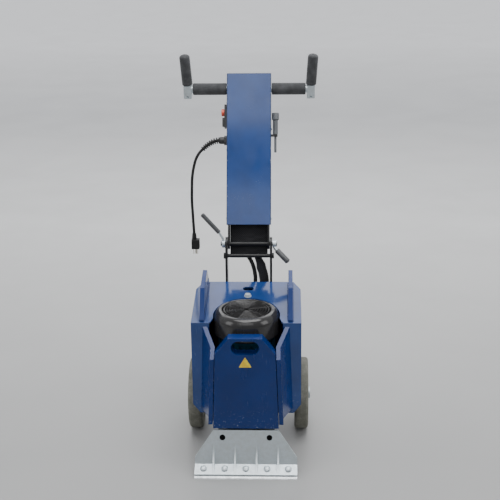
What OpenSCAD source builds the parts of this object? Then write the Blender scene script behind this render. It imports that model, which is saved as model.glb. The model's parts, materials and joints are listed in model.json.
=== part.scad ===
// Walk-behind electric floor scraper: an upright motor shakes a wide blade fore and aft,
// two wheels carry the weight, and a padded handle column folds forward for transport.
// Millimetres. The blade faces -Y, +X is the right side seen from the blade's end, +Z is up.
// The origin is on the floor under the middle of the machine's length.

/* [Blade head] */
// Width of the blade and of its holder
blade_w = 305; // [280:1:320]
// Distance from the axle forward to the blade's edge
blade_reach = 345; // [342:1:348]
// Angle of the blade above the floor
blade_tilt = 28; // [27:1:29]
// Angle of the holder's upright plate above the floor
holder_tilt = 76; // [75:1:77]
// Offset of the eccentric that shakes the blade
eccentric = 3; // [2:0.5:3]

/* [Wheels] */
// Outer diameter of the tyres
wheel_d = 228; // [222:1:236]
// Width of a tyre
wheel_w = 43; // [36:1:45]
// Distance from the middle plane to the middle of a tyre
wheel_x = 168; // [167:1:172]

/* [Body] */
// Thickness of the heavy side and nose plates
plate_t = 13; // [10:1:14]
// Distance from the middle plane to the outer face of a side plate
side_x = 139; // [138:1:140]
// Half width of the bent deck sheet
deck_x = 165; // [160:1:170]
// Thickness of the bent deck sheet
deck_t = 5; // [4:0.5:6]
// Height of the fold at the deck's front edge
fold_height = 432; // [430:1:436]
// Thickness of the removable front weight
weight_t = 38; // [30:1:40]

/* [Motor] */
// Distance from the axle forward to the upright motor
motor_reach = 133; // [132:1:135]
// Radius of the fan cover
cover_r = 99; // [96:1:99]
// Height of the fan cover's top
cover_top = 457; // [455:1:460]

/* [Handle] */
// Lean of the handle column away from the blade
lean = 20.2; // [18:0.2:22]
// Length of the column cover
column_l = 486; // [470:1:500]
// Width of the column cover
column_w = 142; // [142:1:144]
// Depth of the column cover
column_d = 45; // [45:1:50]
// Radius of the foam grips on the cross bar
grip_r = 19; // [16:0.5:20]

/* [Hidden] */
$fn = 64;
steel = "silver";
dark = "#2b2b2d";
powder_blue = "#2a5296";
foam = "#48494b";

// The column's frame starts at its cover's lower front edge, relative to the axle
column_y = 112;
column_z = 647;
spine_t = 3;
pivot_s = -60;
pivot_depth = 20;
lock_s = -98;
bar_s = 438.6;
bar_depth = 22;
panel_top = column_l - 6;
column_back = column_y + panel_top * sin(lean) + (column_d + spine_t) * cos(lean);
axle_y = (blade_reach - column_back) / 2;
axle_z = wheel_d / 2;
bar_y = column_y + bar_s * sin(lean) + bar_depth * cos(lean);
bar_z = column_z + bar_s * cos(lean) - bar_depth * sin(lean);

// Handle rails
rail_x = 67.5;
rail_t = 7;

// Body stations along Y from the axle, and heights
front_y = -183;
deck_back_y = 68;
deck_rise = 38;
weight_y = -278;
nose_bend_y = -245;
motor_plate_z = 150;
motor_plate_t = 12;
nose_flare = 2.2;
nose_top_z = 400;
nose_x = 102;
motor_y = -motor_reach;

// Blade head: the flange lies on the blade, and its top meets the holder's front at the fold
blade_t = 2.5;
flange_t = 6;
holder_t = 8;
fold_t = 46.9;
flange_top = blade_t + flange_t;
fold_y = -blade_reach + fold_t * cos(blade_tilt) - flange_top * sin(blade_tilt);
fold_z = fold_t * sin(blade_tilt) + flange_top * cos(blade_tilt);
holder_l = 102.5;
bolt_pitch = 63;
bolt_reach = 31;
hole_x = 70;
hole_r = 8.75;
carrier_z = 104;
carrier_t = 20;

// Free route of the power cord from its strain relief down to its plug
cord_r = 4.6;
cord_route = [[-152, 240, 864], [-158, 240, 858], [-164, 240, 850], [-170, 240, 840],
    [-175, 240, 828], [-179, 240, 814], [-183, 240, 797], [-186, 240, 779], [-188, 240, 758],
    [-189, 240, 735], [-190, 240, 710], [-190, 240, 685], [-189, 240, 658], [-188, 240, 632],
    [-187, 240, 606], [-186, 240, 582]];
// Routes of the textile sleeve and of the corrugated conduit between column and motor
sleeve_r = 16.5;
sleeve_route = [[33, 114, 526], [36.5, 113, 514], [41, 111, 500], [45, 109, 484], [48, 108, 466],
    [48.5, 107, 446], [48.5, 105, 426], [48, 101, 406], [46, 94, 388], [44, 84, 372],
    [42, 71, 358], [40, 56, 350], [37, 36, 346], [37, 20.4, 346]];
conduit_r = 7;
conduit_route = [[4, 113, 530], [8.5, 112, 521], [12.5, 111, 511], [16, 111, 498],
    [18.5, 110, 484], [20, 109, 468], [19, 107, 446], [17, 106, 424], [15, 102, 402],
    [12, 96, 380], [9, 86, 360], [6, 72, 345], [3, 55, 336], [1, 36, 333], [1, 20.4, 333]];

// ---- Placing and shaping helpers ----

module on_axle() translate([0, axle_y, 0]) children();

module on_column() translate([0, axle_y + column_y, column_z]) rotate([-lean, 0, 0]) children();

module on_blade() translate([0, axle_y - blade_reach, 0]) rotate([blade_tilt, 0, 0]) children();

module on_holder() translate([0, axle_y + fold_y, fold_z]) rotate([holder_tilt - 90, 0, 0]) children();

module sided(side) {
    if (side > 0) children();
    else mirror([1, 0, 0]) children();
}

// Box given by its low and high corners
module span(low, high) translate(low) cube(high - low);

// Outline in Y and Z, drawn out along X
module yz_plate(x0, x1, outline)
    translate([x0, 0, 0]) rotate([90, 0, 90]) linear_extrude(x1 - x0) polygon(outline);

// Outline in X and Z, drawn out along Y
module xz_plate(y0, y1, outline)
    translate([0, y1, 0]) rotate([90, 0, 0]) linear_extrude(y1 - y0) polygon(outline);

module x_rod(x0, x1, r) translate([x0, 0, 0]) rotate([0, 90, 0]) cylinder(r = r, h = x1 - x0);

// Hexagon head along X
module x_hex(x0, x1, flats)
    translate([x0, 0, 0]) rotate([0, 90, 0]) cylinder(r = flats / sqrt(3), h = x1 - x0, $fn = 6);

// Round bar or cone from point p to point q
module bar_between(p, q, r1, r2) {
    v = q - p;
    translate(p) rotate([0, acos(v.z / norm(v)), atan2(v.y, v.x)]) cylinder(r1 = r1, r2 = r2, h = norm(v));
}

// Moulded grip with a rounded far end, from point p towards point q
module grip_between(p, q, r) {
    v = q - p;
    length = norm(v);
    dome = r * 0.6;
    translate(p) rotate([0, acos(v.z / length), atan2(v.y, v.x)]) rotate_extrude()
        polygon(concat([[0, 0], [r, 0]],
            [for (a = [0:15:75]) [r * cos(a), length + dome * sin(a)]], [[0, length + dome]]));
}

function unit(v) = v / norm(v);
function along(route, i) = unit(route[min(i + 1, len(route) - 1)] - route[max(i - 1, 0)]);
function ring(route, i, r, sides) = let (
    t = along(route, i),
    u = unit(cross([1, 0, 0.001], t)),
    w = cross(t, u))
    [for (k = [0:sides - 1]) route[i] + r * (cos(360 * k / sides) * u + sin(360 * k / sides) * w)];

// One closed tube swept along a route
module tube(route, r, sides) {
    n = len(route);
    skin = [for (i = [0:n - 1]) each ring(route, i, r, sides)];
    walls = [for (i = [0:n - 2], k = [0:sides - 1]) let (j = (k + 1) % sides)
        [i * sides + k, (i + 1) * sides + k, (i + 1) * sides + j, i * sides + j]];
    start = [for (k = [0:sides - 1]) k];
    finish = [for (k = [sides - 1:-1:0]) (n - 1) * sides + k];
    polyhedron(skin, concat(walls, [start], [finish]));
}

// ---- Body ----

module side_plate(side) color(powder_blue) on_axle() sided(side) difference() {
    yz_plate(side_x - plate_t, side_x, [[-177.8, 140], [-60, 88], [50, 88], [84, 150], [84, 452],
        [deck_back_y, 470], [-8, 537], [-121, 520], [-177.8, 440]]);
    translate([0, 0, axle_z]) x_rod(side_x - plate_t - 1, side_x + 1, 12.5);
    slot_half = 18;
    slot_y = 15;
    for (end = [-1, 1]) translate([0, slot_y + end * slot_half, 490])
        x_rod(side_x - plate_t - 1, side_x + 1, 9);
    span([side_x - plate_t - 1, slot_y - slot_half, 481], [side_x + 1, slot_y + slot_half, 499]);
}

module side_plate_left() side_plate(-1);
module side_plate_right() side_plate(1);

module deck_cover() color("#5f7fb5") on_axle() difference() {
    slope = atan(deck_rise / (deck_back_y - front_y));
    under = deck_t / cos(slope);
    yz_plate(-deck_x, deck_x, [[front_y, 135], [front_y, fold_height],
        [deck_back_y, fold_height + deck_rise], [deck_back_y, fold_height + deck_rise - under],
        [front_y + deck_t, fold_height - under + 0.8], [front_y + deck_t, 135]]);
    // Slots for the side plates' fins, with the weld gap
    for (side = [-1, 1]) sided(side) span([side_x - plate_t - 0.2, front_y + deck_t, 300],
        [side_x + 0.2, deck_back_y + 1, 480]);
    // Opening round the motor, and the wider one between the nose plates
    translate([0, motor_y - 4, 400]) cylinder(r = 101, h = 100, $fn = 96);
    translate([0, 0, 400]) linear_extrude(100)
        polygon([[-110, front_y - 5], [110, front_y - 5], [99, -150], [-99, -150]]);
    span([-110, front_y - 1, motor_plate_z - 0.3], [110, front_y + deck_t + 1, 440]);
    // Chamfered corners of the wings
    for (side = [-1, 1]) sided(side) {
        edge = deck_x + 1;
        corner = deck_x - 23;
        xz_plate(front_y - 1, front_y + 10, [[edge, 134], [edge, 166], [corner, 134]]);
        translate([0, 0, 400]) linear_extrude(100)
            polygon([[edge, deck_back_y - 50], [edge, deck_back_y + 1], [corner, deck_back_y + 1]]);
    }
    // Lifting slot and the bolt's hole
    for (end = [-1, 1]) translate([end * 6, 24, 430]) cylinder(r = 11, h = 60);
    span([-6, 13, 430], [6, 35, 490]);
    translate([0, -23, 430]) cylinder(r = 5, h = 60);
}

// Bent plate beside the motor, wider at its foot
module nose_plate(side) color(powder_blue) on_axle() sided(side) intersection() {
    bend = (side_x - 8 - nose_x) / (nose_bend_y - front_y);
    inner = plate_t * sqrt(1 + bend * bend);
    translate([0, 0, nose_top_z]) rotate([0, -nose_flare, 0]) translate([0, 0, -280]) linear_extrude(340)
        polygon([[side_x - 8, front_y], [nose_x, nose_bend_y], [nose_x, weight_y],
            [nose_x - plate_t, weight_y], [nose_x - plate_t, nose_bend_y + 3],
            [side_x - 8 - inner, front_y]]);
    yz_plate(60, 180, [[weight_y, 145], [weight_y, 356], [nose_bend_y, 380], [front_y, 421], [front_y, 153]]);
}

module nose_plate_left() nose_plate(-1);
module nose_plate_right() nose_plate(1);

module front_weight() color("#35599b") on_axle() difference() {
    foot = 132;
    shoulder = 372;
    gap = 0.4;
    half_top = nose_x - plate_t - 1 + (nose_top_z - shoulder) * tan(nose_flare) - gap;
    half_foot = nose_x - plate_t - 1 + (nose_top_z - foot) * tan(nose_flare) - gap;
    xz_plate(weight_y, weight_y + weight_t - 0.3, [[-half_foot, foot], [half_foot, foot],
        [half_top, shoulder], [50, 422], [-50, 422], [-half_top, shoulder]]);
    // Grab slot with round ends
    slot_x = 20;
    slot_r = 20.5;
    slot_z = 392.5;
    for (end = [-1, 1]) translate([end * slot_x, weight_y - 1, slot_z]) rotate([-90, 0, 0])
        cylinder(r = slot_r, h = weight_t + 2);
    span([-slot_x, weight_y - 1, slot_z - slot_r], [slot_x, weight_y + weight_t + 1, slot_z + slot_r]);
}

module weight_bracket() color(dark) on_axle() {
    back = weight_y + weight_t;
    difference() {
        span([-86, back, motor_plate_z], [86, back + 6, 300]);
        for (side = [-1, 1]) translate([side * 55, back - 1, 215]) rotate([-90, 0, 0])
            cylinder(r = 6, h = 10);
    }
}

module motor_plate() color("#244a8c") on_axle() difference() {
    wide = side_x - plate_t - 0.2;
    translate([0, 0, motor_plate_z]) linear_extrude(motor_plate_t)
        polygon([[-96, weight_y + weight_t + 6], [96, weight_y + weight_t + 6], [96, -177.5], [wide, -177.5],
            [wide, 62], [-wide, 62], [-wide, -177.5], [-96, -177.5]]);
    translate([0, motor_y, motor_plate_z - 1]) cylinder(r = 27, h = 20);
    for (a = [45:90:315]) translate([90 * cos(a), motor_y + 90 * sin(a), motor_plate_z - 1])
        cylinder(r = 5, h = 20);
}

// Cross plate between the side plates, with two lugs for each handle rail
module rear_brace() color("#244a8c") on_axle() difference() {
    union() {
        span([-side_x + plate_t + 0.2, 62, motor_plate_z], [side_x - plate_t - 0.2, 70, 455]);
        for (side = [-1, 1]) sided(side) span([57.5, 70, 205], [67.5, 116, 305]);
    }
    translate([41, 50, 354]) rotate([-90, 0, 0]) cylinder(r = 26, h = 30);
    translate([5, 50, 340]) rotate([-90, 0, 0]) cylinder(r = 12, h = 30);
    for (z = [230, 280]) translate([0, 94, z]) x_rod(-90, 90, 6);
}

module axle() color(steel) on_axle() translate([0, 0, axle_z]) x_rod(-197, 197, 12.5);

// Spacer rings inside the wheels and retaining collars outside them
module axle_collars() color("#9a9c98") on_axle() translate([0, 0, axle_z]) {
    inner = wheel_x - wheel_w / 2;
    outer = wheel_x + wheel_w / 2;
    for (side = [-1, 1]) sided(side) {
        difference() {
            x_rod(side_x, inner - 0.3, 17);
            x_rod(side_x - 1, inner, 12.5);
        }
        difference() {
            x_rod(outer + 0.3, outer + 7, 19);
            x_rod(outer, outer + 8, 12.5);
        }
    }
}

module motor_housing() color("#1f6f86") on_axle() translate([0, motor_y, 0]) difference() {
    union() {
        translate([0, 0, motor_plate_z + motor_plate_t]) cylinder(r = 100, h = 14, $fn = 96);
        translate([0, 0, 170]) cylinder(r = 80, h = 214, $fn = 96);
        for (a = [0:15:345]) rotate(a) span([78, -1.5, 190], [87, 1.5, 375]);
        translate([0, 0, 375]) cylinder(r = 87, h = 10, $fn = 96);
    }
    translate([0, 0, 150]) cylinder(r = 14.3, h = 250);
    for (a = [45:90:315]) translate([90 * cos(a), 90 * sin(a), 150]) cylinder(r = 5, h = 30);
}

// Pressed bell with a grille of rings and spokes in its flat top
module fan_cover() color("#3b3c3e") on_axle() translate([0, motor_y, 0]) {
    flat_r = 79;
    grille_r = 74;
    wall = 2;
    shoulder = 28;
    outer = [for (a = [0:15:90]) [flat_r + (cover_r - flat_r) * sin(a), cover_top - shoulder * (1 - cos(a))]];
    inner = [for (a = [90:-15:0]) [flat_r - wall + (cover_r - flat_r) * sin(a),
        cover_top - wall - (shoulder - wall) * (1 - cos(a))]];
    rotate_extrude($fn = 96) polygon(concat([[grille_r, cover_top - wall], [grille_r, cover_top]], outer,
        [[cover_r, 386]], [[cover_r - wall, 386]], inner));
    ring_w = 3.6;
    for (r = [12:8.2:70]) translate([0, 0, cover_top - wall]) difference() {
        cylinder(r = r, h = wall, $fn = 72);
        translate([0, 0, -1]) cylinder(r = r - ring_w, h = wall + 2, $fn = 72);
    }
    for (a = [0:60:300]) rotate(a + 15) span([9, -2, cover_top - wall], [grille_r + 2, 2, cover_top]);
}

module terminal_box() color("#26282b") on_axle() difference() {
    union() {
        span([-50, motor_y + 87.2, 290], [54, 16, 385]);
        span([-53, 16, 287], [57, 20, 388]);
    }
    span([-44, motor_y + 95, 296], [48, 12, 379]);
}

module cable_sleeve() color("#161617") on_axle() tube(sleeve_route, sleeve_r, 12);
module conduit() color("#1b1b1c") on_axle() tube(conduit_route, conduit_r, 10);

// Point of the column's frame, in Y and Z from the axle
function column_point(depth, s) = [column_y + s * sin(lean) + depth * cos(lean),
    column_z + s * cos(lean) - depth * sin(lean)];
// The same, where a line along the column reaches the given Y
function column_at_y(depth, y) = column_point(depth, (y - column_y - depth * cos(lean)) / sin(lean));

// Flat bar, upright on the brace's lugs and bent back to follow the column
module handle_rail(side) color(dark) sided(side) difference() {
    half = 22;
    front = 74;
    back = 114;
    on_axle() yz_plate(rail_x, rail_x + rail_t, concat(
        [[front, 196], [back, 196], column_at_y(pivot_depth + half, back)],
        [for (a = [0:12:180]) column_point(pivot_depth + half * cos(a), pivot_s + half * sin(a))],
        [column_at_y(pivot_depth - half, front)]));
    on_column() translate([0, pivot_depth, pivot_s]) x_rod(60, 80, 7);
    on_column() translate([0, pivot_depth, lock_s]) x_rod(60, 80, 6);
    for (z = [230, 280]) on_axle() translate([0, 94, z]) x_rod(60, 80, 6);
}

module handle_rail_left() handle_rail(-1);
module handle_rail_right() handle_rail(1);

// Bolts of the rails, the motor's feet, the weight and the deck
module frame_bolts() color("#c3c5c2") on_axle() {
    for (side = [-1, 1], z = [230, 280]) sided(side) translate([0, 94, z]) {
        x_rod(57.5, 84, 6);
        x_hex(74.5, 82, 19);
    }
    for (a = [45:90:315]) translate([90 * cos(a), motor_y + 90 * sin(a), 0]) {
        translate([0, 0, motor_plate_z]) cylinder(r = 5, h = 27);
        translate([0, 0, motor_plate_z + motor_plate_t + 14]) cylinder(r = 17 / sqrt(3), h = 6.5, $fn = 6);
    }
    for (side = [-1, 1]) translate([side * 55, weight_y + weight_t, 215]) rotate([-90, 0, 0]) {
        cylinder(r = 6, h = 6);
        translate([0, 0, 6]) cylinder(r = 19 / sqrt(3), h = 7.5, $fn = 6);
    }
    slope = atan(deck_rise / (deck_back_y - front_y));
    translate([0, -23, fold_height + 160 * tan(slope)]) rotate([slope, 0, 0]) {
        translate([0, 0, -24]) cylinder(r = 4, h = 30);
        cylinder(r = 11.5, h = 1.6);
        cylinder(r = 17 / sqrt(3), h = 7, $fn = 6);
    }
}

// Clamped pivot rod, and the stop rod below it with its nut and cap
module cross_rods() color("#4a4b4d") on_column() {
    translate([0, pivot_depth, pivot_s]) x_rod(-90, 90, 7);
    translate([0, pivot_depth, lock_s]) {
        x_rod(-80, 80, 6);
        x_hex(-80.5, -74.5, 17);
        x_rod(74.5, 80.5, 9);
    }
}

module rubber_mounts() color("#1c1c1d") on_axle() {
    foot = carrier_z + carrier_t;
    for (side = [-1, 1], y = [-210, -62]) translate([side * 66, y, foot])
        cylinder(r = 16, h = motor_plate_z - foot);
}

// ---- Wheels ----

module wheel_place(side) on_axle() translate([side * wheel_x, 0, axle_z]) rotate([0, 90, 0]) children();

module tyre() color("#6b6b62") rotate_extrude($fn = 128) {
    round = 9;
    half = wheel_w / 2;
    outer = wheel_d / 2;
    polygon(concat([[82, -half]],
        [for (a = [-90:15:0]) [outer - round + round * cos(a), -half + round + round * sin(a)]],
        [for (a = [0:15:90]) [outer - round + round * cos(a), half - round + round * sin(a)]],
        [[82, half]]));
}

module wheel_rim() color("#8f9189") rotate_extrude($fn = 96)
    polygon([[21, -20], [32, -20], [32, -4], [74, -4], [74, -19], [82, -19], [82, 19], [74, 19], [74, 4],
        [32, 4], [32, 20], [21, 20]]);

module wheel_bearing() color("#b6b8b5") rotate_extrude()
    polygon([[12.55, -21.2], [17, -21.2], [17, -20.2], [21, -20.2], [21, 20.2], [17, 20.2],
        [17, 21.2], [12.55, 21.2]]);

module tyre_left() wheel_place(-1) tyre();
module wheel_rim_left() wheel_place(-1) wheel_rim();
module wheel_bearing_left() wheel_place(-1) wheel_bearing();
module tyre_right() wheel_place(1) tyre();
module wheel_rim_right() wheel_place(1) wheel_rim();
module wheel_bearing_right() wheel_place(1) wheel_bearing();

// ---- Rotor ----

module motor_shaft() color(steel) on_axle() translate([0, motor_y, 106]) cylinder(r = 14, h = 320);

module cooling_fan() color("#d9dad6") on_axle() translate([0, motor_y, 392]) difference() {
    union() {
        cylinder(r = 26, h = 34);
        cylinder(r = 84, h = 3);
        for (a = [0:45:315]) rotate(a) span([20, -1.5, 0], [84, 1.5, 30]);
    }
    translate([0, 0, -1]) cylinder(r = 14, h = 40);
}

module eccentric_hub() color("#7d7f7c") on_axle() translate([0, motor_y, 106]) difference() {
    translate([eccentric, 0, 0]) cylinder(r = 20, h = 40);
    translate([0, 0, -1]) cylinder(r = 14, h = 42);
}

module eccentric_bearing() color("#b6b8b5") on_axle() translate([eccentric, motor_y, 110]) difference() {
    cylinder(r = 32, h = 26);
    translate([0, 0, -1]) cylinder(r = 20, h = 28);
}

// ---- Blade head ----

module blade_carrier() color("#3f4143") {
    on_axle() difference() {
        union() {
            translate([0, 0, carrier_z]) linear_extrude(carrier_t)
                polygon([[-85, -40], [85, -40], [85, -240], [52, -268], [-52, -268], [-85, -240]]);
            translate([0, motor_y, carrier_z]) cylinder(r = 50, h = 28);
        }
        translate([0, motor_y, carrier_z - 1]) cylinder(r = 32 + 2 * eccentric + 0.5, h = 40);
    }
    on_holder() difference() {
        span([-52, holder_t, 36], [52, holder_t + 12, 93]);
        for (side = [-1, 1]) translate([side * 32, holder_t - 1, 56]) rotate([-90, 0, 0])
            cylinder(r = 5, h = 14);
    }
    for (side = [-1, 1]) on_axle() yz_plate(side * 44 - 4, side * 44 + 4,
        [[-278, 75], [-268, 106], [-200, 106]]);
}

// Upright plate, lower flange and four gussets
module blade_holder() color("#a9afb1") {
    half = blade_w / 2;
    bend = holder_tilt - blade_tilt;
    flange_front = 11;
    shoulder = 21;
    top_half = 97;
    rib_l = 63;
    // One of the upper corners is cut from the shoulder to the top, and a little past both
    cut = [top_half - half, holder_l - shoulder];
    difference() {
        on_blade() yz_plate(-half, half, [[flange_front, blade_t], [flange_front, flange_top],
            [fold_t, flange_top], [fold_t + holder_l * cos(bend), flange_top + holder_l * sin(bend)],
            [fold_t + holder_l * cos(bend) + holder_t * sin(bend),
                flange_top + holder_l * sin(bend) - holder_t * cos(bend)],
            [fold_t + (holder_t - flange_t * cos(bend)) / sin(bend), blade_t]]);
        on_holder() for (side = [-1, 1]) sided(side) {
            xz_plate(-2, holder_t + 2, [[half, shoulder] - 0.05 * cut, [top_half, holder_l] + 0.05 * cut,
                [half + 4, holder_l + 6]]);
            translate([hole_x, -1, 80.5]) rotate([-90, 0, 0]) cylinder(r = hole_r, h = 12);
            translate([32, 3, 56]) rotate([-90, 0, 0]) cylinder(r = 5, h = 14);
        }
        on_blade() for (i = [-2:2]) translate([i * bolt_pitch, bolt_reach, 0]) cylinder(r = 5, h = 12);
    }
    for (x = [-96:64:96]) on_blade() yz_plate(x - 2.5, x + 2.5, [[14, flange_top - 0.5],
        [fold_t + 3, flange_top - 0.5], [fold_t + rib_l * cos(bend) + 1, flange_top + rib_l * sin(bend)]]);
}

module scraper_blade() color("#c9ced0") on_blade() difference() {
    yz_plate(-blade_w / 2, blade_w / 2, [[0, 0], [70, 0], [70, blade_t], [5, blade_t]]);
    for (i = [-2:2]) translate([i * bolt_pitch, bolt_reach, -1]) cylinder(r = 5, h = 12);
}

module clamp_strip() color("#8e9496") on_blade() difference() {
    span([-150, 15, -5], [150, 52, 0]);
    for (i = [-2:2]) translate([i * bolt_pitch, bolt_reach, -6]) cylinder(r = 5, h = 12);
}

// Five domed blade bolts with nuts, and two cap screws that hold the holder
module head_fasteners() color("#dfe2e2") {
    for (i = [-2:2]) on_blade() translate([i * bolt_pitch, bolt_reach, 0]) {
        translate([0, 0, -10]) cylinder(r = 5, h = 18.6);
        translate([0, 0, -10]) cylinder(r = 15 / sqrt(3), h = 5, $fn = 6);
        translate([0, 0, flange_top]) rotate_extrude()
            polygon(concat([[0, 0]], [for (a = [0:15:90]) [10.2 * cos(a), 1.2 + 4.8 * sin(a)]]));
    }
    for (side = [-1, 1]) on_holder() translate([side * 32, 3, 56]) rotate([-90, 0, 0]) {
        cylinder(r = 5, h = 17);
        translate([0, 0, 17]) cylinder(r = 8, h = 9);
    }
}

// ---- Handle column ----

module column_cover() color(powder_blue) on_column() {
    half = column_w / 2;
    wall = 2.5;
    difference() {
        span([-half, 0, 0], [half, column_d, column_l]);
        span([-half + wall, wall, -1], [half - wall, column_d + 1, column_l - wall]);
        translate([0, bar_depth, bar_s]) x_rod(-half - 1, half + 1, 12.7);
    }
}

// Back panel with side flanges, and two cheeks that reach down to the pivot rod
module column_spine() color(dark) on_column() difference() {
    outer = 66.5;
    inner = 60.5;
    front = pivot_depth - 17.2;
    back = pivot_depth + 17.2;
    union() {
        span([-outer, column_d, 25], [outer, column_d + spine_t, panel_top]);
        for (side = [-1, 1]) sided(side) {
            translate([0, pivot_depth, pivot_s]) x_rod(inner, outer, 17.2);
            span([inner, front, pivot_s], [outer, back, 70]);
            span([inner, 12, 25], [outer, column_d, panel_top - 10]);
        }
    }
    translate([0, pivot_depth, pivot_s]) x_rod(-80, 80, 7.06);
    translate([0, bar_depth, bar_s]) x_rod(-80, 80, 12.5);
}

module column_screws() color("#b9bbb8") on_column() {
    spots = [[-1, 22], [-1, 244], [-1, 395], [1, 22], [1, 310]];
    for (spot = spots) sided(spot[0]) translate([column_w / 2, 30, spot[1]]) rotate([0, 90, 0])
        cylinder(r1 = 4.6, r2 = 3, h = 3);
}

module cross_bar() color("#9fa3a3") on_column() translate([0, bar_depth, bar_s]) difference() {
    x_rod(-204, 204, 12.5);
    for (side = [-1, 1]) sided(side) x_rod(185, 205, 10);
}

module bar_grips() color(foam) on_column() translate([0, bar_depth, bar_s]) {
    for (side = [-1, 1]) sided(side) difference() {
        x_rod(column_w / 2 + 1.5, 181, grip_r);
        x_rod(column_w / 2, 182, 12.5);
    }
}

module switch_body() color("#37383a") on_column() difference() {
    span([-79, 7, 312], [-column_w / 2, 37, 386]);
    translate([0, 22, 362]) x_rod(-80, -73, 12);
    span([-80, 11.5, 316], [-73, 32.5, 345]);
}

module stop_button() color("#d2604f") on_column() translate([0, 22, 362]) x_rod(-89, -77, 11.5);

module start_button() color("#2f3032") on_column() difference() {
    span([-86, 12, 316.5], [-77, 32, 344.5]);
    translate([-86, 0, 344.5]) rotate([0, 14, 0]) span([-12, 0, -40], [0, 50, 10]);
}

module tool_clip() color(dark) on_column() difference() {
    span([column_w / 2, 12, 284], [91.5, 32, 290.3]);
    translate([84.5, bar_depth, 280]) cylinder(r = 4.2, h = 20);
}

// Stored hex key with a moulded handle
module hex_tool() color("#8b8d8c") on_column() translate([84.5, bar_depth, 0]) {
    translate([0, 0, 233]) cylinder(r = 3.8, h = 60);
    translate([0, 0, 290.8]) cylinder(r = 8, h = 50);
    translate([0, 0, 338]) cylinder(r = 11.5, h = 22);
}

module cable_boot() color("#1a1a1b") on_column() span([-60, 29, -104], [60, 43, 24]);

// ---- Cord ----

module cord_gland() color("#232425") on_column() translate([0, bar_depth, 272.3]) {
    x_hex(-80, -column_w / 2, 27);
    x_rod(-94, -80, 11.5);
}

module strain_relief() color("#232425") {
    gland_y = axle_y + column_y + 272.3 * sin(lean) + bar_depth * cos(lean);
    gland_z = column_z + 272.3 * cos(lean) - bar_depth * sin(lean);
    bar_between([-98.2, gland_y, gland_z - 1], cord_route[0] + [2.4, 0, 1.6], 8.5, 6.2);
}

module power_cord() color("#1b1b1c") tube(cord_route, cord_r, 10);

module plug_body() color("#232425") {
    foot = cord_route[len(cord_route) - 1];
    translate([foot.x, foot.y, foot.z - 22]) cylinder(r1 = 8.5, r2 = 6.5, h = 21.8);
    span([foot.x - 9, foot.y - 12, foot.z - 53], [foot.x + 17, foot.y + 12, foot.z - 21]);
}

// Two flat blades and the round earth pin
module plug_prongs() color("#c9b98a") translate(cord_route[len(cord_route) - 1] + [4, 0, -53]) {
    for (side = [-1, 1]) span([side * 6.35 - 0.75, -7, -18], [side * 6.35 + 0.75, -0.7, 0]);
    translate([0, 7, -21]) cylinder(r = 2.4, h = 21);
}

// ---- Horns and clamp levers ----

module on_bar(side) translate([0, axle_y + bar_y, bar_z]) sided(side) children();

module horn(side) color("#a9afae") on_bar(side) difference() {
    union() {
        rotate([10, 0, 0]) span([185.5, -15, -28], [210.5, 15, 14]);
        translate([197.5, 0, 0]) rotate([10, 3.5, 0]) translate([0, 0, 12]) cylinder(r = 10.5, h = 90);
    }
    x_rod(180, 215, 12.56);
    rotate([10, 0, 0]) translate([198, -20, -21]) rotate([-90, 0, 0]) cylinder(r = 3, h = 40);
}

module horn_grip(side) color(foam) on_bar(side) translate([197.5, 0, 0]) rotate([10, 3.5, 0]) difference() {
    union() {
        translate([0, 0, 16]) cylinder(r = 16.8, h = 89);
        translate([0, 0, 105]) rotate_extrude()
            polygon(concat([[0, 0]], [for (a = [0:15:90]) [16.8 - 11 + 11 * cos(a), 9 * sin(a)]], [[0, 9]]));
    }
    translate([0, 0, 14]) cylinder(r = 10.5, h = 88);
    translate([0, 0, 100]) cylinder(r = 3, h = 20);
}

module horn_left() horn(-1);
module horn_grip_left() horn_grip(-1);
module horn_right() horn(1);
module horn_grip_right() horn_grip(1);

pivot_y = column_y + pivot_s * sin(lean) + pivot_depth * cos(lean);
pivot_z = column_z + pivot_s * cos(lean) - pivot_depth * sin(lean);
module on_pivot() translate([0, axle_y + pivot_y, pivot_z]) children();

lever_elbow = [-95, 0, 38];
lever_tip = [-146, 0, 96];
module clamp_lever_left() color("#b4b8b6") on_pivot() difference() {
    union() {
        x_rod(-86, -76, 13);
        xz_plate(-8, 8, [[-84, 0], [-80, 0], [-80, 16.5], [-93.6, 39.1], [-96.6, 36.5], [-84, 15.4]]);
    }
    x_rod(-90, -70, 7.06);
}

module lever_grip_left() color("#5a5b5c") on_pivot() grip_between(lever_elbow, lever_tip, 7);

right_elbow = [90, -15, -17];
right_tip = [123, -35, -46];
module clamp_lever_right() color("#b4b8b6") on_pivot() difference() {
    union() {
        x_rod(76, 88, 13);
        bar_between([82, -9, -9], right_elbow - 0.6 * unit(right_tip - right_elbow), 5, 5);
    }
    x_rod(70, 95, 7.06);
}

module lever_grip_right() color("#6a6a66") on_pivot() grip_between(right_elbow, right_tip, 9);

side_plate_left();
side_plate_right();
deck_cover();
nose_plate_left();
nose_plate_right();
front_weight();
weight_bracket();
motor_plate();
rear_brace();
axle();
axle_collars();
motor_housing();
fan_cover();
terminal_box();
cable_sleeve();
conduit();
handle_rail_left();
handle_rail_right();
frame_bolts();
cross_rods();
rubber_mounts();
tyre_left();
wheel_rim_left();
wheel_bearing_left();
tyre_right();
wheel_rim_right();
wheel_bearing_right();
motor_shaft();
cooling_fan();
eccentric_hub();
eccentric_bearing();
blade_carrier();
blade_holder();
scraper_blade();
clamp_strip();
head_fasteners();
column_cover();
column_spine();
column_screws();
cross_bar();
bar_grips();
switch_body();
cord_gland();
strain_relief();
power_cord();
plug_body();
plug_prongs();
cable_boot();
tool_clip();
horn_left();
horn_grip_left();
horn_right();
horn_grip_right();
clamp_lever_left();
lever_grip_left();
clamp_lever_right();
lever_grip_right();
stop_button();
start_button();
hex_tool();
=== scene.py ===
"""Looks of a walk-behind floor scraper: coated plate, plated fittings, foam grips and its short lead."""

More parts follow.
